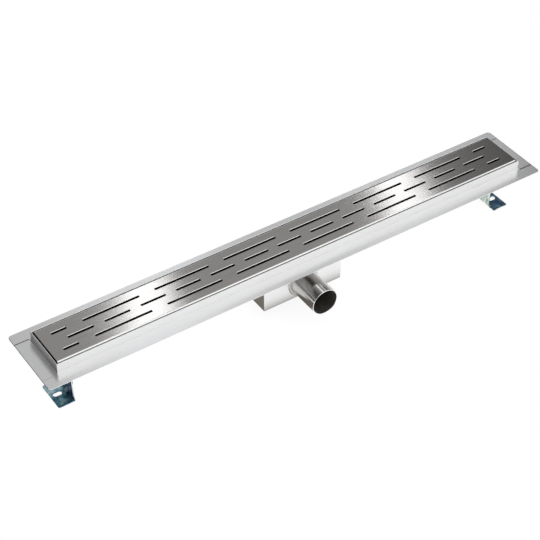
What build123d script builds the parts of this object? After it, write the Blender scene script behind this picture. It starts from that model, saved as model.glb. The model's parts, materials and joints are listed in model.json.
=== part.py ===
from build123d import *
import os

# Linear shower drain: a stainless channel with a flush slotted grate, a water trap with a side outlet,
# and two height-adjustable feet. Millimetres. The origin lies on the floor, midway between the two
# fixing slots of the feet. X runs along the channel, +Y away from the outlet, Z up.

# Tray: folded and welded sheet, with a hemmed rim around the trough
OVERALL_LENGTH = 800.0
OVERALL_WIDTH = 116.0
END_FLANGE = 23.2
SIDE_FLANGE = 21.6
RIM_HEIGHT = 14.3
TROUGH_DEPTH = 22.5
SHEET = 0.8
HEM_ROUND = 0.7
ROOT_RADIUS = 2.0
TROUGH_BEND = 1.2
FLANGE_CORNER = 5.0
END_RETURN = 3.0
SEAM_OFFSET = 2.5

# Height of the rim over the floor, as the feet are set
INSTALL_HEIGHT = 90.0

# Grate: folded plate on saddles that stand on the trough floor
GRATE_SHEET = 1.5
GRATE_PROUD = 0.8
GRATE_END_GAP = 1.7
GRATE_SIDE_GAP = 1.5
GRATE_SKIRT = 9.0
GRATE_BEND = 2.2
SLOT_WIDTH = 4.0
SLOT_CORNER = 0.8
SLOT_EDGE = 0.4
SLOT_ROW_PITCH = 17.0
SLOT_PITCH = 53.8
SHORT_SLOT = 37.4
LONG_SLOT = 83.8
SLOT_MARGIN = 16.8
SADDLE_SHEET = 1.2
SADDLE_WIDTH = 14.0
SADDLE_INSET = 50.7
SADDLE_COUNT = 4

# Trap: sump under the middle of the trough, with its weir and lift-out siphon plate
TRAP_LENGTH = 128.0
TRAP_WIDTH = 67.0
TRAP_BOTTOM = 58.5
TRAP_SHEET = 1.0
TRAP_BEND = 1.5
WEIR_PLACE = -12.0
WEIR_HEIGHT = 38.0
DIP_PLACE = 3.0
DIP_FOOT_HEIGHT = 8.0
DIP_FOOT_WIDTH = 10.0
INSERT_SHEET = 1.0
SEAL_THICKNESS = 2.5
SEAL_HEIGHT = 5.0
GRIP_LENGTH = 34.0
GRIP_HEIGHT = 9.0
GRIP_WIDTH = 8.0
GRIP_SHEET = 1.0

# Outlet spigot in the near wall of the trap
OUTLET_OD = 40.0
OUTLET_WALL = 1.0
OUTLET_EDGE = 0.3
OUTLET_DROP = 33.2
OUTLET_END = 86.5
WELD_CLEARANCE = 0.05
COLLAR_WIDTH = 3.4
COLLAR_THICKNESS = 1.2

# Feet: folded plates that slide up and down on their brackets
FOOT_SHEET = 1.5
FOOT_INSET = 24.0
FOOT_DEPTH = 25.0
FOOT_WIDTH = 47.0
FOOT_CORNER = 2.0
FOOT_SLOT_INSET = 10.5
FOOT_SLOT_LENGTH = 13.0
FOOT_SLOT_WIDTH = 7.4
UPRIGHT_WIDTH = 31.5
UPRIGHT_TOP_WIDTH = 26.5
UPRIGHT_OFFSET = 4.25
UPRIGHT_HEIGHT = 57.0
UPRIGHT_SLOT_WIDTH = 7.0
UPRIGHT_SLOT_LOW = 15.8
UPRIGHT_SLOT_HIGH = 52.0
FOOT_BEND = 1.5
RELIEF_WIDTH = 1.2
RELIEF_DEPTH = 4.0
GUSSET_SIZE = 8.0
GUSSET_WIDTH = 5.0
BRACKET_WIDTH = 26.0
BRACKET_LEG = 22.0
BRACKET_BOTTOM = 22.8
SCREW_HEIGHT = 38.0
THREAD_DIAMETER = 6.0
THREAD_CLEARANCE = 0.05
SCREW_HOLE = 6.6
HEAD_ACROSS = 10.0
HEAD_HEIGHT = 4.0
NUT_HEIGHT = 5.0
WASHER_DIAMETER = 14.0
WASHER_THICKNESS = 1.4
THREAD_SPARE = 2.0

# How far a cutting or dividing shape runs past the piece it works on
OVERRUN = 1.0

# Levels and faces that the pieces share
RIM_TOP = INSTALL_HEIGHT
FLANGE_TOP = RIM_TOP - RIM_HEIGHT
FLANGE_UNDER = FLANGE_TOP - SHEET
TROUGH_FLOOR = RIM_TOP - TROUGH_DEPTH
TROUGH_UNDER = TROUGH_FLOOR - SHEET
HEM = 2 * SHEET
RIM_LENGTH = OVERALL_LENGTH - 2 * END_FLANGE
RIM_WIDTH = OVERALL_WIDTH - 2 * SIDE_FLANGE
TROUGH_LENGTH = RIM_LENGTH - 2 * HEM
TROUGH_WIDTH = RIM_WIDTH - 2 * HEM
TRAP_UNDER = FLANGE_TOP - TRAP_BOTTOM
TRAP_FLOOR = TRAP_UNDER + TRAP_SHEET
TRAP_INNER_LENGTH = TRAP_LENGTH - 2 * TRAP_SHEET
TRAP_INNER_WIDTH = TRAP_WIDTH - 2 * TRAP_SHEET
TRAP_FACE = -TRAP_WIDTH / 2
OUTLET_AXIS = FLANGE_TOP - OUTLET_DROP
OUTLET_BORE = OUTLET_OD - 2 * OUTLET_WALL
GRATE_LENGTH = TROUGH_LENGTH - 2 * GRATE_END_GAP
GRATE_WIDTH = TROUGH_WIDTH - 2 * GRATE_SIDE_GAP
GRATE_TOP = RIM_TOP + GRATE_PROUD
GRATE_UNDER = GRATE_TOP - GRATE_SHEET
FOOT_OUTER = OVERALL_LENGTH / 2 - FOOT_INSET
FOOT_INNER = FOOT_OUTER - FOOT_DEPTH
FOOT_SLOT_PLACE = FOOT_OUTER - FOOT_SLOT_INSET


def box_between(x_range, y_range, z_range):
    """Closed box between two values on each axis, for use inside a part block."""
    middle = [(low + high) / 2 for low, high in (x_range, y_range, z_range)]
    size = [high - low for low, high in (x_range, y_range, z_range)]
    with Locations(tuple(middle)):
        Box(*size)


def save(piece, name):
    """Label the finished piece and write it to its own file."""
    piece.part.label = name
    export_step(piece.part, f"parts/{name}.step")


def tray():
    """Whole welded tray: flanges, hemmed upstand and trough, before it is parted at its seams."""
    with BuildPart() as whole:
        with BuildSketch(Plane.XY.offset(FLANGE_UNDER)):
            RectangleRounded(OVERALL_LENGTH, OVERALL_WIDTH, FLANGE_CORNER)
        extrude(amount=SHEET)
        with BuildSketch(Plane.XY.offset(FLANGE_UNDER)):
            Rectangle(RIM_LENGTH, RIM_WIDTH)
        extrude(amount=RIM_TOP - FLANGE_UNDER)
        with BuildSketch(Plane.XY.offset(TROUGH_UNDER)):
            Rectangle(RIM_LENGTH - HEM, RIM_WIDTH - HEM)
        extrude(amount=FLANGE_UNDER - TROUGH_UNDER)
        fillet(whole.edges().group_by(Axis.Z)[0], TROUGH_BEND + SHEET / 2)
        with BuildSketch(Plane.XY.offset(TROUGH_FLOOR)):
            Rectangle(TROUGH_LENGTH, TROUGH_WIDTH)
        extrude(amount=TROUGH_DEPTH, mode=Mode.SUBTRACT)
        trough_corner = whole.faces().filter_by(Axis.Z).sort_by(Axis.Z)[1]
        fillet(trough_corner.edges(), TROUGH_BEND - SHEET / 2)
        rim_top = whole.faces().filter_by(Axis.Z).sort_by(Axis.Z)[-1]
        fillet(rim_top.edges(), HEM_ROUND)
        level = (FLANGE_TOP - SHEET / 2, FLANGE_TOP + SHEET / 2)
        flange_top = whole.faces().filter_by(Axis.Z).filter_by_position(Axis.Z, *level)[0]
        fillet(flange_top.inner_wires()[0].edges(), ROOT_RADIUS)
        with BuildSketch(Plane.XY.offset(TROUGH_UNDER)):
            Rectangle(TRAP_INNER_LENGTH, TRAP_INNER_WIDTH)
        extrude(amount=SHEET, mode=Mode.SUBTRACT)
    return whole.part


def end_zone(side):
    """Region of the tray that belongs to the end plate on one side, -1 left or 1 right."""
    inner = side * (TROUGH_LENGTH / 2 - END_RETURN)
    outer = side * (OVERALL_LENGTH / 2 + OVERRUN)
    seam = RIM_WIDTH / 2 + SEAM_OFFSET
    with BuildPart() as zone:
        box_between(sorted((inner, outer)), (-seam, seam), (TROUGH_UNDER - OVERRUN, RIM_TOP + OVERRUN))
    return zone.part


def make_tray_pieces():
    """Channel body and the two end plates, parted along the butt welds beside the upstand."""
    whole = tray()
    zones = [end_zone(-1), end_zone(1)]
    with BuildPart() as channel_body:
        add(whole)
        add(zones, mode=Mode.SUBTRACT)
    save(channel_body, "channel_body")
    for name, zone in zip(("end_plate_left", "end_plate_right"), zones):
        with BuildPart() as end_plate:
            add(whole)
            add(zone, mode=Mode.INTERSECT)
        save(end_plate, name)


def make_trap_box():
    """Sump: folded box, open at the top, with the round hole of the outlet in its near wall."""
    with BuildPart() as trap_box:
        with BuildSketch(Plane.XY.offset(TRAP_UNDER)):
            RectangleRounded(TRAP_LENGTH, TRAP_WIDTH, TRAP_BEND)
        extrude(amount=TROUGH_UNDER - TRAP_UNDER)
        fillet(trap_box.edges().group_by(Axis.Z)[0], TRAP_BEND)
        with BuildSketch(Plane.XY.offset(TRAP_FLOOR)):
            Rectangle(TRAP_INNER_LENGTH, TRAP_INNER_WIDTH)
        extrude(amount=TROUGH_UNDER - TRAP_FLOOR, mode=Mode.SUBTRACT)
        with BuildSketch(Plane.XZ.offset(-TRAP_FACE - TRAP_SHEET)):
            with Locations((0, OUTLET_AXIS)):
                Circle(OUTLET_OD / 2 + WELD_CLEARANCE)
        extrude(amount=TRAP_SHEET, mode=Mode.SUBTRACT)
    save(trap_box, "trap_box")


def make_outlet():
    """Spigot tube, flush with the inside of the trap wall, with the weld collar round its root."""
    tube_start = -TRAP_FACE - TRAP_SHEET
    with BuildPart() as outlet_pipe:
        with BuildSketch(Plane.XZ.offset(tube_start)):
            with Locations((0, OUTLET_AXIS)):
                Circle(OUTLET_OD / 2)
        extrude(amount=OUTLET_END - tube_start)
        with BuildSketch(Plane.XZ.offset(-TRAP_FACE)):
            with Locations((0, OUTLET_AXIS)):
                Circle(OUTLET_OD / 2 + COLLAR_WIDTH)
        extrude(amount=COLLAR_THICKNESS)
        collar_edge = outlet_pipe.edges().filter_by(GeomType.CIRCLE).sort_by(SortBy.RADIUS)[-2:].sort_by(Axis.Y)[0]
        chamfer(collar_edge, COLLAR_THICKNESS / 2)
        with BuildSketch(Plane.XZ.offset(tube_start)):
            with Locations((0, OUTLET_AXIS)):
                Circle(OUTLET_BORE / 2)
        extrude(amount=OUTLET_END - tube_start, mode=Mode.SUBTRACT)
        end_face = outlet_pipe.faces().sort_by(Axis.Y)[0]
        chamfer(end_face.edges(), OUTLET_EDGE)
    save(outlet_pipe, "outlet_pipe")


def make_trap_weir():
    """Fixed plate across the trap, over which the water spills to the outlet."""
    with BuildPart() as trap_weir:
        with BuildSketch(Plane.XZ.offset(-WEIR_PLACE)):
            with Locations((0, TRAP_FLOOR + WEIR_HEIGHT / 2)):
                Rectangle(TRAP_INNER_LENGTH, WEIR_HEIGHT)
        extrude(amount=TRAP_SHEET)
    save(trap_weir, "trap_weir")


def make_siphon():
    """Lift-out siphon plate, its edge seal and its grip."""
    half_length = TRAP_INNER_LENGTH / 2
    near_wall = -TRAP_INNER_WIDTH / 2
    plate_half = half_length - SEAL_THICKNESS
    cover_top = TROUGH_FLOOR
    cover_under = cover_top - INSERT_SHEET
    dip_near = DIP_PLACE - INSERT_SHEET
    with BuildPart() as siphon_plate:
        box_between((-plate_half, plate_half), (near_wall + SEAL_THICKNESS, DIP_PLACE), (cover_under, cover_top))
        box_between((-plate_half, plate_half), (dip_near, DIP_PLACE), (TRAP_FLOOR, cover_top))
        throat = plate_half - DIP_FOOT_WIDTH
        with BuildSketch(Plane.XZ.offset(-DIP_PLACE)):
            with Locations((0, TRAP_FLOOR + DIP_FOOT_HEIGHT / 2)):
                Rectangle(2 * throat, DIP_FOOT_HEIGHT)
        extrude(amount=INSERT_SHEET, mode=Mode.SUBTRACT)
        outer_bend = siphon_plate.edges().filter_by(Axis.X).group_by(Axis.Z)[-1].sort_by(Axis.Y)[-1]
        fillet(outer_bend, INSERT_SHEET)
    save(siphon_plate, "siphon_plate")
    seal_low = cover_top - SEAL_HEIGHT
    with BuildPart() as siphon_seal:
        box_between((-half_length, half_length), (near_wall, DIP_PLACE), (seal_low, cover_top))
        box_between((-half_length, half_length), (dip_near - SEAL_THICKNESS, DIP_PLACE), (TRAP_FLOOR, seal_low))
        with BuildSketch(Plane.XY.offset(TRAP_FLOOR)):
            with Locations((0, (near_wall + SEAL_THICKNESS + DIP_PLACE + OVERRUN) / 2)):
                Rectangle(2 * plate_half, DIP_PLACE + OVERRUN - near_wall - SEAL_THICKNESS)
        extrude(amount=cover_top - TRAP_FLOOR, mode=Mode.SUBTRACT)
    save(siphon_seal, "siphon_seal")
    grip_middle = (near_wall + DIP_PLACE) / 2
    with BuildPart() as siphon_grip:
        with BuildSketch(Plane.XZ.offset(-grip_middle - GRIP_WIDTH / 2)):
            with BuildLine():
                Polyline((-GRIP_LENGTH / 2 - GRIP_WIDTH, cover_top),
                         (-GRIP_LENGTH / 2 - GRIP_WIDTH, cover_top + GRIP_SHEET),
                         (-GRIP_LENGTH / 2, cover_top + GRIP_SHEET),
                         (-GRIP_LENGTH / 2, cover_top + GRIP_HEIGHT),
                         (GRIP_LENGTH / 2, cover_top + GRIP_HEIGHT),
                         (GRIP_LENGTH / 2, cover_top + GRIP_SHEET),
                         (GRIP_LENGTH / 2 + GRIP_WIDTH, cover_top + GRIP_SHEET),
                         (GRIP_LENGTH / 2 + GRIP_WIDTH, cover_top),
                         (GRIP_LENGTH / 2 - GRIP_SHEET, cover_top),
                         (GRIP_LENGTH / 2 - GRIP_SHEET, cover_top + GRIP_HEIGHT - GRIP_SHEET),
                         (-GRIP_LENGTH / 2 + GRIP_SHEET, cover_top + GRIP_HEIGHT - GRIP_SHEET),
                         (-GRIP_LENGTH / 2 + GRIP_SHEET, cover_top),
                         close=True)
            make_face()
        extrude(amount=GRIP_WIDTH)
        top_bends = siphon_grip.edges().filter_by(Axis.Y).group_by(Axis.Z)[-1]
        fillet(top_bends, GRIP_SHEET * 1.5)
    save(siphon_grip, "siphon_grip")


def slot_row(place, centres, length):
    """One row of grate slots in the current sketch, mirrored about the middle."""
    with Locations([(side * centre, place) for centre in centres for side in (-1, 1)]):
        Rectangle(length, SLOT_WIDTH)


def make_grate():
    """Cover plate: folded long edges and the staggered slot pattern."""
    half = GRATE_WIDTH / 2
    with BuildPart() as grate_plate:
        with BuildSketch(Plane.YZ.offset(-GRATE_LENGTH / 2)):
            with BuildLine():
                Polyline((-half, GRATE_TOP - GRATE_SKIRT),
                         (-half, GRATE_TOP),
                         (half, GRATE_TOP),
                         (half, GRATE_TOP - GRATE_SKIRT),
                         (half - GRATE_SHEET, GRATE_TOP - GRATE_SKIRT),
                         (half - GRATE_SHEET, GRATE_UNDER),
                         (-half + GRATE_SHEET, GRATE_UNDER),
                         (-half + GRATE_SHEET, GRATE_TOP - GRATE_SKIRT),
                         close=True)
            make_face()
        extrude(amount=GRATE_LENGTH)
        long_edges = grate_plate.edges().filter_by(Axis.X)
        fillet(long_edges.group_by(Axis.Z)[-1], GRATE_BEND)
        fillet(long_edges.group_by(Axis.Z)[-2], GRATE_BEND - GRATE_SHEET)
        slot_limit = GRATE_LENGTH / 2 - SLOT_MARGIN
        short_steps = int((slot_limit - SHORT_SLOT / 2) / SLOT_PITCH)
        long_steps = int(((slot_limit - LONG_SLOT / 2) / SLOT_PITCH + 1) / 2)
        end_start = (2 * long_steps + 1) * SLOT_PITCH - LONG_SLOT / 2
        end_slot = slot_limit - end_start
        with BuildSketch(Plane.XY.offset(GRATE_UNDER)) as slots:
            with Locations((0, 0)):
                Rectangle(SHORT_SLOT, SLOT_WIDTH)
            slot_row(0, [(step + 1) * SLOT_PITCH for step in range(short_steps)], SHORT_SLOT)
            for place in (-SLOT_ROW_PITCH, SLOT_ROW_PITCH):
                slot_row(place, [(2 * step + 1) * SLOT_PITCH for step in range(long_steps)], LONG_SLOT)
                if end_slot > 2 * SLOT_WIDTH:
                    slot_row(place, [end_start + end_slot / 2], end_slot)
            chamfer(slots.vertices(), SLOT_CORNER)
        extrude(amount=GRATE_SHEET, mode=Mode.SUBTRACT)
        top_face = grate_plate.faces().filter_by(Axis.Z).sort_by(Axis.Z)[-1]
        for slot in top_face.inner_wires():
            chamfer(slot.edges(), SLOT_EDGE)
    save(grate_plate, "grate_plate")


def make_saddles():
    """U-shaped saddles inside the skirts, on which the grate stands on the trough floor."""
    outer = GRATE_WIDTH / 2 - GRATE_SHEET
    leg_top = GRATE_UNDER - (GRATE_BEND - GRATE_SHEET)
    first_place = GRATE_LENGTH / 2 - SADDLE_INSET
    for number in range(SADDLE_COUNT):
        place = first_place * (2 * number / (SADDLE_COUNT - 1) - 1)
        with BuildPart() as saddle:
            with BuildSketch(Plane.YZ.offset(place - SADDLE_WIDTH / 2)):
                with BuildLine():
                    Polyline((-outer, leg_top), (-outer, TROUGH_FLOOR), (outer, TROUGH_FLOOR), (outer, leg_top),
                             (outer - SADDLE_SHEET, leg_top),
                             (outer - SADDLE_SHEET, TROUGH_FLOOR + SADDLE_SHEET),
                             (-outer + SADDLE_SHEET, TROUGH_FLOOR + SADDLE_SHEET),
                             (-outer + SADDLE_SHEET, leg_top),
                             close=True)
                make_face()
            extrude(amount=SADDLE_WIDTH)
            fillet(saddle.edges().filter_by(Axis.X).group_by(Axis.Z)[0], SADDLE_SHEET * 1.5)
        save(saddle, f"grate_saddle_{number + 1}")


def foot_plane(side, local_x, y_shift=0.0):
    """Vertical plane across X at a distance from the middle, on one side of the drain."""
    return Plane(origin=(side * local_x, y_shift, 0), x_dir=(0, side, 0), z_dir=(side, 0, 0))


def make_foot(side, name):
    """Folded foot: base with its fixing slot, upright with its adjusting slot, pressed gusset."""
    centre = side * UPRIGHT_OFFSET
    half = UPRIGHT_WIDTH / 2
    with BuildPart() as foot:
        with BuildSketch(Plane.XY):
            with Locations((side * (FOOT_OUTER - FOOT_DEPTH / 2), 0)):
                RectangleRounded(FOOT_DEPTH, FOOT_WIDTH, FOOT_CORNER)
            with Locations((side * FOOT_SLOT_PLACE, 0)):
                SlotOverall(FOOT_SLOT_LENGTH, FOOT_SLOT_WIDTH, mode=Mode.SUBTRACT)
            relief_places = [(side * FOOT_INNER, centre + edge * (half + RELIEF_WIDTH / 2)) for edge in (-1, 1)]
            with Locations(relief_places):
                Rectangle(2 * RELIEF_DEPTH, RELIEF_WIDTH, mode=Mode.SUBTRACT)
        extrude(amount=FOOT_SHEET)
        with BuildSketch(foot_plane(side, FOOT_INNER)):
            with BuildLine():
                Polyline((UPRIGHT_OFFSET - half, 0),
                         (UPRIGHT_OFFSET + half, 0),
                         (UPRIGHT_OFFSET + half, RELIEF_DEPTH),
                         (UPRIGHT_OFFSET + UPRIGHT_TOP_WIDTH / 2, UPRIGHT_HEIGHT),
                         (UPRIGHT_OFFSET - UPRIGHT_TOP_WIDTH / 2, UPRIGHT_HEIGHT),
                         (UPRIGHT_OFFSET - half, RELIEF_DEPTH),
                         close=True)
            make_face()
            slot_middle = (UPRIGHT_SLOT_LOW + UPRIGHT_SLOT_HIGH) / 2
            with Locations((UPRIGHT_OFFSET, slot_middle)):
                SlotOverall(UPRIGHT_SLOT_HIGH - UPRIGHT_SLOT_LOW, UPRIGHT_SLOT_WIDTH, rotation=90,
                            mode=Mode.SUBTRACT)
        extrude(amount=FOOT_SHEET)
        top_corners = foot.edges().filter_by(Axis.X).group_by(Axis.Z)[-1]
        fillet(top_corners, 2 * FOOT_BEND)
        lowest_edges = foot.edges().filter_by(Axis.Y).group_by(Axis.Z)[0]
        bend = lowest_edges.filter_by(lambda edge: abs(edge.center().X - side * FOOT_INNER) < FOOT_BEND
                                      and abs(edge.center().Y - centre) < half / 2)
        fillet(bend, FOOT_BEND)
        with BuildSketch(Plane.XZ.offset(-centre - GUSSET_WIDTH / 2)):
            corner = side * (FOOT_INNER + FOOT_SHEET)
            with BuildLine():
                Polyline((corner, FOOT_SHEET), (corner + side * GUSSET_SIZE, FOOT_SHEET),
                         (corner, FOOT_SHEET + GUSSET_SIZE), close=True)
            make_face()
        extrude(amount=GUSSET_WIDTH)
    save(foot, name)


def make_bracket(side, name):
    """Angle welded under the trough, which carries the foot's clamping screw."""
    face = FOOT_INNER
    half = BRACKET_WIDTH / 2
    with BuildPart() as bracket:
        with BuildSketch(Plane.XZ.offset(-side * UPRIGHT_OFFSET - half)):
            with BuildLine():
                Polyline((side * face, BRACKET_BOTTOM),
                         (side * face, TROUGH_UNDER),
                         (side * (face - BRACKET_LEG), TROUGH_UNDER),
                         (side * (face - BRACKET_LEG), TROUGH_UNDER - FOOT_SHEET),
                         (side * (face - FOOT_SHEET), TROUGH_UNDER - FOOT_SHEET),
                         (side * (face - FOOT_SHEET), BRACKET_BOTTOM),
                         close=True)
            make_face()
        extrude(amount=BRACKET_WIDTH)
        outer_bend = bracket.edges().filter_by(Axis.Y).group_by(Axis.Z)[-1].sort_by(Axis.X)
        fillet(outer_bend[-1] if side > 0 else outer_bend[0], 2 * FOOT_BEND)
        inner_bend = bracket.edges().filter_by(Axis.Y).group_by(Axis.Z)[-2].sort_by(Axis.X)
        fillet(inner_bend[-1] if side > 0 else inner_bend[0], FOOT_BEND)
        lower_corners = bracket.edges().filter_by(Axis.X).group_by(Axis.Z)[0]
        fillet(lower_corners, 2 * FOOT_BEND)
        with BuildSketch(foot_plane(side, face)):
            with Locations((UPRIGHT_OFFSET, SCREW_HEIGHT)):
                Circle(SCREW_HOLE / 2)
        extrude(amount=-FOOT_SHEET, mode=Mode.SUBTRACT)
    save(bracket, name)


def make_fasteners(side, word):
    """Hexagon screw, washer and nut that clamp one foot to its bracket."""
    face = FOOT_INNER
    washer_seat = face + FOOT_SHEET
    head_seat = washer_seat + WASHER_THICKNESS
    nut_seat = face - FOOT_SHEET
    screw_end = nut_seat - NUT_HEIGHT - THREAD_SPARE
    centre = (UPRIGHT_OFFSET, SCREW_HEIGHT)
    with BuildPart() as washer:
        with BuildSketch(foot_plane(side, washer_seat)):
            with Locations(centre):
                Circle(WASHER_DIAMETER / 2)
                Circle(SCREW_HOLE / 2, mode=Mode.SUBTRACT)
        extrude(amount=WASHER_THICKNESS)
    save(washer, f"foot_washer_{word}")
    with BuildPart() as screw:
        with BuildSketch(foot_plane(side, head_seat)):
            with Locations(centre):
                RegularPolygon(HEAD_ACROSS / 2, 6, major_radius=False)
        extrude(amount=HEAD_HEIGHT)
        with BuildSketch(foot_plane(side, screw_end)):
            with Locations(centre):
                Circle(THREAD_DIAMETER / 2)
        extrude(amount=head_seat - screw_end)
    save(screw, f"foot_screw_{word}")
    with BuildPart() as nut:
        with BuildSketch(foot_plane(side, nut_seat - NUT_HEIGHT)):
            with Locations(centre):
                RegularPolygon(HEAD_ACROSS / 2, 6, major_radius=False)
                Circle(THREAD_DIAMETER / 2 + THREAD_CLEARANCE, mode=Mode.SUBTRACT)
        extrude(amount=NUT_HEIGHT)
    save(nut, f"foot_nut_{word}")


os.makedirs("parts", exist_ok=True)
make_tray_pieces()
make_trap_box()
make_outlet()
make_trap_weir()
make_siphon()
make_grate()
make_saddles()
for side, word in ((-1, "left"), (1, "right")):
    make_foot(side, f"foot_{word}")
    make_bracket(side, f"foot_bracket_{word}")
    make_fasteners(side, word)
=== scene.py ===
import json
import math

import bmesh
import bpy
from mathutils import Matrix, Vector


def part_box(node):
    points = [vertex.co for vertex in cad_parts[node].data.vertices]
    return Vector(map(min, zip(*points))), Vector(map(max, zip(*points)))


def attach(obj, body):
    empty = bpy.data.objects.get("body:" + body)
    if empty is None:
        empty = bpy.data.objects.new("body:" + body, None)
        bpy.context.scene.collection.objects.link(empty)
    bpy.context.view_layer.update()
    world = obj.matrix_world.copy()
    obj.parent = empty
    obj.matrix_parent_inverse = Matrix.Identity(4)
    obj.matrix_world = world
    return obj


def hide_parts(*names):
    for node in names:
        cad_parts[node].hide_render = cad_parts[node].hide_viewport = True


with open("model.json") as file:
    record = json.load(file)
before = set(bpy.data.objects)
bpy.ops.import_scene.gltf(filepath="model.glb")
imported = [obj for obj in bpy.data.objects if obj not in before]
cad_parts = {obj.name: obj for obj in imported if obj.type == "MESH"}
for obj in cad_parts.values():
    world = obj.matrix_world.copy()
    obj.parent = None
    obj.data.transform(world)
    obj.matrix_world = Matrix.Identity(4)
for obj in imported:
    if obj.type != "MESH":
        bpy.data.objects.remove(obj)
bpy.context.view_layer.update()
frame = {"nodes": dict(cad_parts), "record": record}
nodes = frame["nodes"]

# Camera, at the photograph's viewing angle
EYE = Vector((-0.93461, -1.36533, 1.48351))
RIGHT = Vector((0.83234496, -0.55424497, -0.00379292))
UP = Vector((0.36707892, 0.54611267, 0.75300333))
BACK = Vector((-0.41527694, -0.62815083, 0.65800577))
camera_data = bpy.data.cameras.new("camera")
camera_data.lens = 105.684
camera_data.sensor_width = 36.0
camera_data.clip_end = 50.0
camera = bpy.data.objects.new("camera", camera_data)
bpy.context.scene.collection.objects.link(camera)
camera.matrix_world = Matrix.Translation(EYE) @ Matrix((RIGHT, UP, BACK)).transposed().to_4x4()
bpy.context.scene.camera = camera
bpy.context.scene.view_settings.view_transform = "Standard"

# Levels and faces of the solids, in metres: the finish, the painted shade and the painted highlights change
# there
GRATE_TOP = 0.0908
RIM_HEIGHT = 0.0143
FLANGE_CUT_END = 0.3995
TROUGH_SPACE = (0.3746, 0.0352, 0.0660, 0.0885)
TRAP_SPACE = (0.0634, 0.0329, 0.0178, 0.0900)
INSERT_SPACE = (0.1, 0.1, 0.0, 0.1)
SLOTTED_HALF_LENGTH, SLOTTED_HALF_WIDTH = 0.3730, 0.0308
GRATE_FOLD = 0.0313
OUTLET_AXIS = 0.0425
OUTLET_BORE = 0.01915
OUTLET_BORE_END, OUTLET_HIGHLIGHT_END = -0.0861, -0.08615
FOOT_BASE_TOP = 0.004

# How far a face's normal points up: underneath, on a bevel, on the level top, and on a standing face
FACING_DOWN, SLANTED, LEVEL, STANDING = -0.6, 0.62, 0.85, 0.5

# Noise lies mostly between these two values
NOISE_LOW, NOISE_HIGH = 0.3, 0.7


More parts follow.
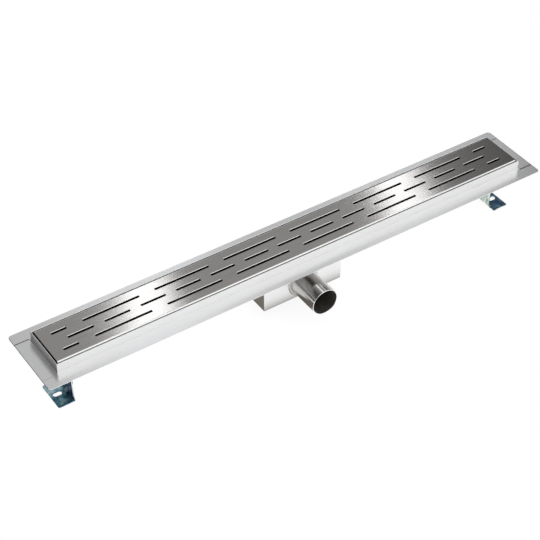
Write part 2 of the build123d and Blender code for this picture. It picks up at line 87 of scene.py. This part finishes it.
# Materials
class Nodes:
    """Short helper for building one node tree."""

    def __init__(self, owner, output):
        owner.use_nodes = True
        self.owner = owner
        self.tree = owner.node_tree
        self.tree.nodes.clear()
        self.out = self.add(output)

    def add(self, kind, **settings):
        """New node, with its sockets or its own properties set by name."""
        node = self.tree.nodes.new(kind)
        for key, value in settings.items():
            if key in node.inputs.keys():
                node.inputs[key].default_value = value
            else:
                setattr(node, key, value)
        return node

    def link(self, source, target):
        self.tree.links.new(source, target)

    def noise(self, stretch, scale, detail=3.0, roughness=0.55, offset=(0, 0, 0)):
        """Noise in object space, stretched on each axis."""
        place = self.add("ShaderNodeTexCoord")
        mapping = self.add("ShaderNodeMapping", Scale=stretch, Location=offset)
        self.link(place.outputs["Object"], mapping.inputs["Vector"])
        noise = self.add("ShaderNodeTexNoise", Scale=scale, Detail=detail, Roughness=roughness)
        self.link(mapping.outputs["Vector"], noise.inputs["Vector"])
        return noise.outputs["Fac"]

    def spread(self, value, low, high, start=NOISE_LOW, end=NOISE_HIGH, steps="LINEAR"):
        """Value from start to end mapped to low to high."""
        node = self.add("ShaderNodeMapRange", interpolation_type=steps)
        for key, number in (("From Min", start), ("From Max", end), ("To Min", low), ("To Max", high)):
            node.inputs[key].default_value = number
        self.link(value, node.inputs["Value"])
        return node.outputs["Result"]

    def ramp(self, value, stops):
        """Colour ramp from (place, colour) stops."""
        node = self.add("ShaderNodeValToRGB")
        ramp = node.color_ramp
        while len(ramp.elements) < len(stops):
            ramp.elements.new(0.5)
        for element, (place, colour) in zip(ramp.elements, stops):
            element.position = place
            element.color = (*colour, 1)
        self.link(value, node.inputs["Fac"])
        return node.outputs["Color"]

    def tones(self, noise, dark, light):
        """Colour that follows a noise from the dark tone to the light one."""
        return self.ramp(noise, [(NOISE_LOW, dark), (NOISE_HIGH, light)])

    def split(self, vector):
        """The three values of a vector."""
        node = self.add("ShaderNodeSeparateXYZ")
        self.link(vector, node.inputs["Vector"])
        return node.outputs["X"], node.outputs["Y"], node.outputs["Z"]

    def place(self):
        """Coordinates in object space, in metres."""
        return self.split(self.add("ShaderNodeTexCoord").outputs["Object"])

    def facing(self):
        """The surface normal."""
        return self.split(self.add("ShaderNodeNewGeometry").outputs["Normal"])

    def math(self, operation, *values):
        node = self.add("ShaderNodeMath", operation=operation)
        for socket, value in zip(node.inputs, values):
            if isinstance(value, (int, float)):
                socket.default_value = value
            else:
                self.link(value, socket)
        return node.outputs["Value"]

    def above(self, value, limit):
        return self.math("GREATER_THAN", value, limit)

    def below(self, value, limit):
        return self.math("LESS_THAN", value, limit)

    def within(self, value, limit):
        """1 where the value lies within the limit of zero on either side."""
        return self.below(self.math("ABSOLUTE", value), limit)

    def beyond(self, value, limit):
        """1 where the value lies past the limit on either side of zero."""
        return self.above(self.math("ABSOLUTE", value), limit)

    def product(self, *values):
        total = values[0]
        for value in values[1:]:
            total = self.math("MULTIPLY", total, value)
        return total

    def blend(self, factor, first, second):
        """Colour that goes from the first to the second with the factor."""
        node = self.add("ShaderNodeMix", data_type="RGBA")
        sockets = node.inputs[0], node.inputs[6], node.inputs[7]
        for socket, value in zip(sockets, (factor, first, second)):
            if isinstance(value, tuple):
                socket.default_value = (*value, 1)
            else:
                self.link(value, socket)
        return node.outputs[2]

    def surface(self, roughness, metallic=1.0):
        """Principled shader on the output."""
        shader = self.add("ShaderNodeBsdfPrincipled", Metallic=metallic, Roughness=roughness)
        self.link(shader.outputs["BSDF"], self.out.inputs["Surface"])
        return shader

    def bump(self, shader, height, strength, distance):
        node = self.add("ShaderNodeBump", Strength=strength, Distance=distance)
        self.link(height, node.inputs["Height"])
        self.link(node.outputs["Normal"], shader.inputs["Normal"])

    def brushed(self, shader, direction, amount):
        """Reflections stretch along this direction, across the brushing."""
        tangent = self.add("ShaderNodeCombineXYZ", X=direction[0], Y=direction[1], Z=direction[2])
        self.link(tangent.outputs["Vector"], shader.inputs["Tangent"])
        shader.inputs["Anisotropic"].default_value = amount

    def emission(self, colour):
        glow = self.add("ShaderNodeEmission", Strength=1.0)
        self.link(colour, glow.inputs["Color"])
        return glow.outputs["Emission"]

    def to_camera(self, others, seen):
        """Output that shows one shader to the camera and another to every other ray."""
        path = self.add("ShaderNodeLightPath")
        mix = self.add("ShaderNodeMixShader")
        self.link(path.outputs["Is Camera Ray"], mix.inputs["Fac"])
        self.link(others, mix.inputs[1])
        self.link(seen, mix.inputs[2])
        self.link(mix.outputs["Shader"], self.out.inputs["Surface"])


def new_material(name):
    return Nodes(bpy.data.materials.new(name), "ShaderNodeOutputMaterial")


def grey(value, warm=0.0):
    """Grey with a little more red and a little less blue as it gets warmer."""
    return (value * (1 + warm), value, value * (1 - warm))


def tray_steel(name, space):
    """Mill-finished sheet: bright, half matt, with faint rolling marks along the channel.

    Inside the trough or the trap, within the space given as half length, half width, floor and top,
    the steel is rougher and painted nearly black, as painted shade in the hollow under the cover.
    """
    half_length, half_width, floor_level, top_level = space
    fade_start, fade_end = top_level - 0.0012, top_level + 0.0002
    m = new_material(name)
    shader = m.surface(roughness=0.34)
    x, y, z = m.place()
    nx, ny, nz = m.facing()

    cloud = m.noise((1.0, 1.6, 1.6), 9.0)
    shade_mottle = m.noise((1.0, 1.0, 1.0), 130.0, 4.0, 0.6)
    bright = m.tones(cloud, grey(0.90), grey(0.96, -0.003))
    # Mottled, nearly black painted shade for inside the trough and the trap
    dull = m.tones(shade_mottle, grey(0.05, 0.03), grey(0.13, 0.03))
    # Faces that point down are painted a darker grey: painted shade underneath
    underside = m.below(nz, FACING_DOWN)
    inside = m.product(m.within(x, half_length), m.within(y, half_width), m.above(z, floor_level),
                       m.spread(z, 1.0, 0.0, fade_start, fade_end))
    # The cut ends of the flanges, and a thin strip of the top beside them, are painted nearly black as a
    # painted dark reflection
    cut_edge = m.beyond(x, FLANGE_CUT_END)
    colour = m.blend(underside, bright, grey(0.42, 0.02))
    colour = m.blend(inside, colour, dull)
    colour = m.blend(cut_edge, colour, (0.13, 0.12, 0.11))
    m.link(colour, shader.inputs["Base Color"])

    lines = m.noise((6.0, 700.0, 700.0), 1.0, 2.0)
    rough = m.math("MULTIPLY_ADD", lines, 0.09, m.spread(cloud, 0.255, 0.33))
    rough = m.math("MULTIPLY_ADD", m.math("MAXIMUM", inside, cut_edge), 0.2, rough)
    m.link(rough, shader.inputs["Roughness"])
    m.bump(shader, m.noise((3.0, 60.0, 60.0), 1.0, 3.0), 0.10, 0.0004)
    return m.owner


def grate_steel():
    """Brushed cover: fine grain along the plate; painted shade, rougher and nearly black, in the slots and
    underneath; painted highlights on the slot bevels and folded edges.
    """
    m = new_material("grate_steel")
    shader = m.surface(roughness=0.26)
    x, y, z = m.place()
    nx, ny, nz = m.facing()

    grain = m.noise((14.0, 2600.0, 1300.0), 1.0, 3.0, 0.65)
    shade_mottle = m.noise((1.0, 1.0, 1.0), 260.0, 3.0, 0.6)
    bright = m.tones(grain, grey(0.46, 0.035), grey(0.62, 0.035))
    dull = m.tones(shade_mottle, grey(0.025, 0.05), grey(0.07, 0.05))
    slotted = m.within(y, SLOTTED_HALF_WIDTH)
    bevelled = m.product(slotted, m.above(nz, SLANTED), m.below(nz, LEVEL))
    folded = m.beyond(y, GRATE_FOLD)
    sheared = m.product(slotted, m.within(x, SLOTTED_HALF_LENGTH), m.below(nz, SLANTED))
    # Painted highlights: light grey on the slot bevels and the folded long edges. Painted shade: nearly
    # black on the slot walls and underneath.
    colour = m.blend(bevelled, bright, grey(0.92))
    colour = m.blend(folded, colour, grey(0.98))
    m.link(m.blend(sheared, colour, dull), shader.inputs["Base Color"])

    cloud = m.noise((2.0, 8.0, 8.0), 3.0)
    lines = m.noise((5.0, 420.0, 420.0), 1.0, 3.0, 0.6, (3, 1, 0))
    rough = m.math("MULTIPLY_ADD", lines, 0.035, m.spread(cloud, 0.135, 0.155))
    m.link(m.math("MULTIPLY_ADD", sheared, 0.3, rough), shader.inputs["Roughness"])
    m.bump(shader, grain, 0.045, 0.0002)
    m.brushed(shader, (0, 0.707, 0.707), 1.0)
    return m.owner


def pipe_steel():
    """Welded tube, half bright, with faint draw marks along its axis, a painted highlight on its end ring
    and a rougher bore painted darker as shade.
    """
    m = new_material("pipe_steel")
    shader = m.surface(roughness=0.22)
    x, y, z = m.place()

    lines = m.noise((420.0, 8.0, 420.0), 1.0, 3.0)
    patches = m.noise((60.0, 25.0, 60.0), 1.0, 3.0, 0.6, (1, 2, 3))
    bright = m.tones(patches, grey(0.46, 0.03), grey(0.70, 0.02))
    rise = m.math("SUBTRACT", z, OUTLET_AXIS)
    from_axis = m.math("ADD", m.math("POWER", x, 2.0), m.math("POWER", rise, 2.0))
    bore = m.product(m.below(from_axis, OUTLET_BORE ** 2), m.above(y, OUTLET_BORE_END))
    # The end ring is painted white as a painted highlight, and the bore darker as painted shade inside the
    # tube
    colour = m.blend(m.below(y, OUTLET_HIGHLIGHT_END), bright, grey(1.0))
    m.link(m.blend(bore, colour, (0.36, 0.35, 0.32)), shader.inputs["Base Color"])

    rough = m.math("MULTIPLY_ADD", lines, 0.16, m.spread(patches, 0.06, 0.13))
    m.link(m.math("MULTIPLY_ADD", bore, 0.35, rough), shader.inputs["Roughness"])
    m.bump(shader, lines, 0.15, 0.0003)
    return m.owner


def zinc_plate(name, base, upright):
    """Blue-passivated zinc: coloured patches over a fine matt grain, with painted highlights among them.

    Faces that lie flat and faces that stand have five tones each, from dark to light.
    """
    stops = (0.30, 0.42, 0.52, 0.62, 0.74)
    m = new_material(name)
    shader = m.surface(roughness=0.33, metallic=0.7)
    x, y, z = m.place()
    nx, ny, nz = m.facing()

    patches = m.noise((1.0, 1.0, 1.0), 75.0, 4.0, 0.6)
    # On standing faces the streaks run up and down; their lightest tones are partly the zinc's own light
    # patches and partly painted highlights
    streaks = m.noise((1.0, 1.6, 0.3), 110.0, 3.0, 0.6, (0.2, 0.1, 0.4))
    lying = m.ramp(m.math("MULTIPLY_ADD", y, 3.0, patches), list(zip(stops, base)))
    standing = m.ramp(streaks, list(zip(stops, upright)))
    # Edges of the uprights that face the near side are painted light: a painted highlight
    rim = m.ramp(streaks, [(0.36, (0.22, 0.30, 0.36)), (0.60, (0.86, 0.93, 0.96))])
    cut_edge = m.product(m.below(ny, -STANDING), m.above(z, FOOT_BASE_TOP))
    standing = m.blend(cut_edge, standing, rim)
    m.link(m.blend(m.within(nz, STANDING), lying, standing), shader.inputs["Base Color"])

    grain = m.noise((1.0, 1.0, 1.0), 900.0, 2.0)
    m.link(m.spread(grain, 0.24, 0.40), shader.inputs["Roughness"])
    m.bump(shader, grain, 0.12, 0.0003)
    return m.owner


def seal_rubber():
    """Matt black rubber with a fine grain."""
    m = new_material("seal_rubber")
    shader = m.surface(roughness=0.7, metallic=0.0)
    grain = m.noise((1.0, 1.0, 1.0), 700.0, 3.0)
    m.link(m.tones(grain, grey(0.018), grey(0.04)), shader.inputs["Base Color"])
    m.bump(shader, grain, 0.2, 0.0003)
    return m.owner


def weld_steel(name, dark, light):
    """Weld seam: dull and a little heat-tinted, with fine ripples."""
    m = new_material(name)
    shader = m.surface(roughness=0.42)
    ripples = m.noise((900.0, 900.0, 900.0), 1.0, 3.0)
    m.link(m.tones(ripples, dark, light), shader.inputs["Base Color"])
    m.link(m.spread(ripples, 0.32, 0.5), shader.inputs["Roughness"])
    m.bump(shader, ripples, 0.5, 0.0004)
    return m.owner


# Tones of the zinc: base and upright of the left foot, then of the right foot
PALE = [(0.05, 0.12, 0.16), (0.09, 0.25, 0.32), (0.22, 0.47, 0.58), (0.58, 0.82, 0.90), (0.95, 1.0, 1.0)]
NAVY = [(0.012, 0.025, 0.065), (0.025, 0.05, 0.11), (0.06, 0.12, 0.22), (0.25, 0.42, 0.56),
        (0.80, 0.92, 0.98)]
DUSK = [(0.03, 0.07, 0.13), (0.06, 0.13, 0.22), (0.11, 0.22, 0.34), (0.26, 0.42, 0.56), (0.60, 0.76, 0.86)]
GREEN = [(0.05, 0.09, 0.11), (0.25, 0.32, 0.30), (0.60, 0.70, 0.62), (0.80, 0.88, 0.80),
         (0.94, 0.97, 0.92)]

ZINC = zinc_plate("zinc_plate", PALE, NAVY)
WELD = weld_steel("weld_steel", (0.42, 0.41, 0.40), (0.74, 0.73, 0.71))
SEAM = weld_steel("seam_steel", (0.07, 0.065, 0.06), (0.22, 0.21, 0.20))
BY_SLOT = {
    "tray_steel": tray_steel("tray_steel", TROUGH_SPACE),
    "grate_steel": grate_steel(),
    "pipe_steel": pipe_steel(),
    "zinc_plate": ZINC,
    "seal_rubber": seal_rubber(),
}
# The trap's inserts sit in its hollow and are painted nearly black all over, as painted shade
INSERT = tray_steel("insert_steel", INSERT_SPACE)
BY_NODE = {
    "trap_weir": INSERT,
    "siphon_plate": INSERT,
    "siphon_grip": INSERT,
    "trap_box": tray_steel("trap_steel", TRAP_SPACE),
    "foot_right": zinc_plate("zinc_plate_right", DUSK, GREEN),
}
for entry in frame["record"]["subparts"]:
    piece = nodes[entry["node"]]
    piece.data.materials.clear()
    piece.data.materials.append(BY_NODE.get(entry["node"], BY_SLOT[entry["material_slot"]]))


# Weld beads along the seams, and the threaded screws
def new_piece(name, shape, material):
    """Object from a bmesh, riding on the drain's body."""
    bmesh.ops.recalc_face_normals(shape, faces=shape.faces)
    mesh = bpy.data.meshes.new(name)
    shape.to_mesh(mesh)
    shape.free()
    mesh.materials.append(material)
    piece = bpy.data.objects.new(name, mesh)
    bpy.context.scene.collection.objects.link(piece)
    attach(piece, "drain")
    return piece


def skin(shape, rings, closed=False):
    """Faces between rows of points that each go once round, with end caps on an open row."""
    pairs = list(zip(rings, rings[1:]))
    if closed:
        pairs.append((rings[-1], rings[0]))
    else:
        shape.faces.new(list(reversed(rings[0])))
        shape.faces.new(rings[-1])
    for first, second in pairs:
        count = len(first)
        for k in range(count):
            after = (k + 1) % count
            shape.faces.new((first[k], first[after], second[after], second[k]))


def swept(name, stations, section, material, closed=False):
    """Bead along a row of stations (place, across, outward), each section scaled for the ripples."""
    ripple, wander = 0.13, 0.05
    shape = bmesh.new()
    rings = []
    for index, (place, across, outward) in enumerate(stations):
        scale = 1.0 + ripple * math.cos(index * math.pi / 2) + wander * math.sin(index * 1.7)
        rings.append([shape.verts.new(place + across * (a * scale) + outward * (b * scale if b > 0 else b))
                      for a, b in section])
    skin(shape, rings, closed)
    for face in shape.faces:
        face.smooth = True
    new_piece(name, shape, material)


def straight(start, end, across, outward, pitch):
    """Stations from start to end, about one pitch apart."""
    start, end = Vector(start), Vector(end)
    count = max(2, int((end - start).length / pitch))
    return [(start.lerp(end, k / count), Vector(across), Vector(outward)) for k in range(count + 1)]


def ring(centre_x, centre_z, radius, y, count):
    """Stations round a circle that faces along Y."""
    stations = []
    for k in range(count):
        angle = 2 * math.pi * k / count
        radial = Vector((math.cos(angle), 0, math.sin(angle)))
        stations.append((Vector((centre_x, y, centre_z)) + radial * radius, radial, Vector((0, -1, 0))))
    return stations


def dome(half, height, steps=7):
    """Low rounded section, its foot sunk a little into the sheet."""
    sunk = -0.0002
    arc = [(half * math.cos(math.pi * k / (steps - 1)), height * math.sin(math.pi * k / (steps - 1)))
           for k in range(steps)]
    return [(half, sunk)] + arc + [(-half, sunk)]


def flange_seams():
    """Butt welds across the end flanges, beside the upstand. The near left one is ground bright."""
    seam_y, seam_start, seam_end = 0.0389, 0.3788, 0.3996
    height, pitch = 0.00025, 0.0005
    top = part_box("channel_body")[1][2] - RIM_HEIGHT
    for name, side, y, half_width, material in (("left_near", -1, -seam_y, 0.0004, WELD),
                                                ("left_far", -1, seam_y, 0.0007, SEAM),
                                                ("right_near", 1, -seam_y, 0.0010, SEAM),
                                                ("right_far", 1, seam_y, 0.0006, SEAM)):
        start, end = (side * seam_start, y, top), (side * seam_end, y, top)
        stations = straight(start, end, (0, 1, 0), (0, 0, 1), pitch)
        swept(f"flange_seam_{name}", stations, dome(half_width, height), material)


def trap_seams():
    """Fillet welds round the top of the trap, under the trough."""
    (low_x, low_y, _), (high_x, high_y, top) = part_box("trap_box")
    level, pitch = top - 0.0002, 0.0008
    section = [(-0.0004, -0.0004), (0.0011, -0.0004), (0.0009, 0.0004), (0.0005, 0.0009), (-0.0004, 0.0011)]
    for name, start, end, out in (("near", (low_x, low_y), (high_x, low_y), (0, -1, 0)),
                                  ("far", (low_x, high_y), (high_x, high_y), (0, 1, 0)),
                                  ("left", (low_x, low_y), (low_x, high_y), (-1, 0, 0)),
                                  ("right", (high_x, low_y), (high_x, high_y), (1, 0, 0))):
        stations = straight((*start, level), (*end, level), out, (0, 0, -1), pitch)
        swept(f"trap_seam_{name}", stations, section, WELD)


def outlet_beads():
    """Weld beads inside and outside the collar round the root of the outlet pipe."""
    wall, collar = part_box("trap_box")[0][1], 0.0012
    low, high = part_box("outlet_pipe")
    centre = (low[0] + high[0]) / 2, (low[2] + high[2]) / 2
    inner = [(-0.0003, -0.0003), (0.0010, -0.0003), (0.0008, 0.0004), (0.0004, 0.0008), (-0.0003, 0.0010)]
    outer = [(-0.0003, -0.0003), (0.0008, -0.0003), (0.0006, 0.0003), (0.0003, 0.0006), (-0.0003, 0.0008)]
    for name, radius, y, count, section in (("inner", 0.0200, wall - collar, 240, inner),
                                            ("outer", 0.0234, wall, 260, outer)):
        stations = ring(*centre, radius, y, count)
        swept(f"outlet_bead_{name}", stations, section, WELD, closed=True)


def clamp_screw(side, word):
    """Hexagon screw with its chamfered head and a rolled M6 thread, in place of the plain node."""
    half_flats, head_height = 0.005, 0.0039
    # Distance back from the head's face, and the radius that the chamfer leaves there
    head_profile = ((0.004, 0.0048), (0.0038, 0.0053), (0.0034, 0.0060), (0.0006, 0.0060),
                    (0.0002, 0.0053), (0.0, 0.0048))
    pitch, crest, depth = 0.001, 0.003, 0.00055
    lead_length, lead_share = 0.0012, 0.6
    head_points, thread_points, rings_a_turn = 48, 32, 8
    node = f"foot_screw_{word}"
    low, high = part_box(node)
    centre_y, centre_z = (low[1] + high[1]) / 2, (low[2] + high[2]) / 2
    end_face, head_face = (low[0], high[0]) if side > 0 else (-high[0], -low[0])
    shape = bmesh.new()

    def row(x, points):
        return [shape.verts.new((side * x, centre_y + r * math.cos(angle), centre_z + r * math.sin(angle)))
                for r, angle in points]

    head = []
    for back_off, limit in head_profile:
        points = []
        for k in range(head_points):
            angle = 2 * math.pi * k / head_points
            from_flat = (angle + math.pi / 6) % (math.pi / 3) - math.pi / 6
            points.append((min(half_flats / math.cos(from_flat), limit), angle + math.pi / 2))
        head.append(row(head_face - back_off, points))
    skin(shape, head)

    length = head_face - head_height - end_face
    steps = int(length / pitch * rings_a_turn)
    shank = []
    for step in range(steps + 1):
        x = end_face + length * step / steps
        lead = min(1.0, lead_share + (x - end_face) / lead_length * (1 - lead_share))
        points = []
        for k in range(thread_points):
            turn = (x / pitch + k / thread_points) % 1.0
            points.append(((crest - depth * abs(2 * turn - 1)) * lead, 2 * math.pi * k / thread_points))
        shank.append(row(x, points))
    skin(shape, shank)
    piece = new_piece(f"clamp_screw_{word}", shape, ZINC)
    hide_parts(node)


flange_seams()
trap_seams()
outlet_beads()
clamp_screw(-1, "left")
clamp_screw(1, "right")


# Floor, world and lights
def white_stage(name):
    """White to the camera with the object's soft shadow.

    To the steel it is a pale floor, with a painted shadow under the drain.
    """
    m = new_material(name)
    shade = m.add("ShaderNodeAmbientOcclusion", samples=12, Distance=0.045)
    shadow = m.ramp(shade.outputs["AO"], [(0.0, grey(0.89)), (0.75, grey(1.0))])
    x, y, z = m.place()
    left_edge, right_edge, near_edge, far_edge = (-0.27, -0.22), (0.07, 0.12), (-0.062, -0.050), (0.07, 0.10)
    under_drain = m.product(m.spread(x, 0.0, 1.0, *left_edge), m.spread(x, 1.0, 0.0, *right_edge),
                            m.spread(y, 0.0, 1.0, *near_edge), m.spread(y, 1.0, 0.0, *far_edge))
    pale = m.blend(under_drain, grey(1.0), (0.165, 0.15, 0.13))
    m.to_camera(others=m.emission(pale), seen=m.emission(shadow))
    return m.owner


def floor_stage():
    """Large floor just under the feet."""
    reach, level = 6.0, -0.0004
    mesh = bpy.data.meshes.new("floor")
    corners = [(-reach, -reach, 0), (reach, -reach, 0), (reach, reach, 0), (-reach, reach, 0)]
    mesh.from_pydata(corners, [], [(0, 1, 2, 3)])
    mesh.materials.append(white_stage("floor"))
    floor = bpy.data.objects.new("floor", mesh)
    bpy.context.scene.collection.objects.link(floor)
    floor.location.z = level


def studio_world():
    """White to the camera; to the metal a grey studio, lighter towards the front.

    It gets darker far to the right, at the left side, and low down in front.
    """
    world = bpy.data.worlds.new("studio")
    bpy.context.scene.world = world
    w = Nodes(world, "ShaderNodeOutputWorld")
    x, y, z = w.split(w.add("ShaderNodeTexCoord").outputs["Generated"])

    def fade(value, low, high, start, end):
        return w.spread(value, low, high, start, end, "SMOOTHSTEP")

    def darkened(*masks):
        """1 less the product of the masks, one of which is negative."""
        return w.math("ADD", w.product(*masks), 1.0)

    front = w.product(fade(y, 1.27, 0.50, -0.4, 0.4), fade(y, 0.65, 1.0, -0.95, -0.70))
    side = fade(x, 0.27, 1.0, -0.45, 0.2)
    far_right = darkened(fade(x, 0.0, 0.72, 0.485, 0.57), fade(y, 0.0, -1.0, 0.0, 0.3))
    low_front = darkened(fade(z, 1.0, 0.0, 0.26, 0.44), fade(y, -0.40, 0.0, -0.6, -0.2))
    studio = w.add("ShaderNodeBackground")
    w.link(w.product(front, side, far_right, low_front), studio.inputs["Strength"])
    white = w.add("ShaderNodeBackground", Strength=1.0, Color=(1, 1, 1, 1))
    w.to_camera(others=studio.outputs["Background"], seen=white.outputs["Background"])


def soft_box(name, size, power, matrix, colour=(1.0, 1.0, 1.0)):
    """Rectangular area light that the camera doesn't see."""
    data = bpy.data.lights.new(name, "AREA")
    data.shape = "RECTANGLE"
    data.size, data.size_y = size
    data.energy = power
    data.color = colour
    light = bpy.data.objects.new(name, data)
    bpy.context.scene.collection.objects.link(light)
    light.matrix_world = matrix
    light.visible_camera = False


def band_light(name, x, size, height, power, turned):
    """Box overhead, placed where the grate mirrors it to the viewpoint at the given x."""
    mirrored_eye = Vector((EYE.x, EYE.y, 2 * GRATE_TOP - EYE.z))
    spot = Vector((x, 0, GRATE_TOP))
    way = spot - mirrored_eye
    place = spot + way * ((height - GRATE_TOP) / way.z)
    matrix = Matrix.Translation(place) @ Matrix.Rotation(math.radians(turned), 4, "Z")
    soft_box(name, size, power, matrix, colour=(0.96, 0.98, 1.0))


def front_light(name, place, size, power):
    """Large box in front that faces the origin."""
    towards = -Vector(place).normalized()
    matrix = Matrix.Translation(place) @ towards.to_track_quat("-Z", "Y").to_matrix().to_4x4()
    soft_box(name, size, power, matrix)


floor_stage()
studio_world()
# The two bands of light across the grate
band_light("band_left", x=-0.223, size=(0.14, 1.6), height=1.5, power=1.4, turned=-19)
band_light("band_right", x=0.191, size=(0.14, 1.6), height=1.5, power=1.4, turned=-17)
front_light("front_box", place=(0.2, -2.4, 1.3), size=(3.0, 1.4), power=4.0)
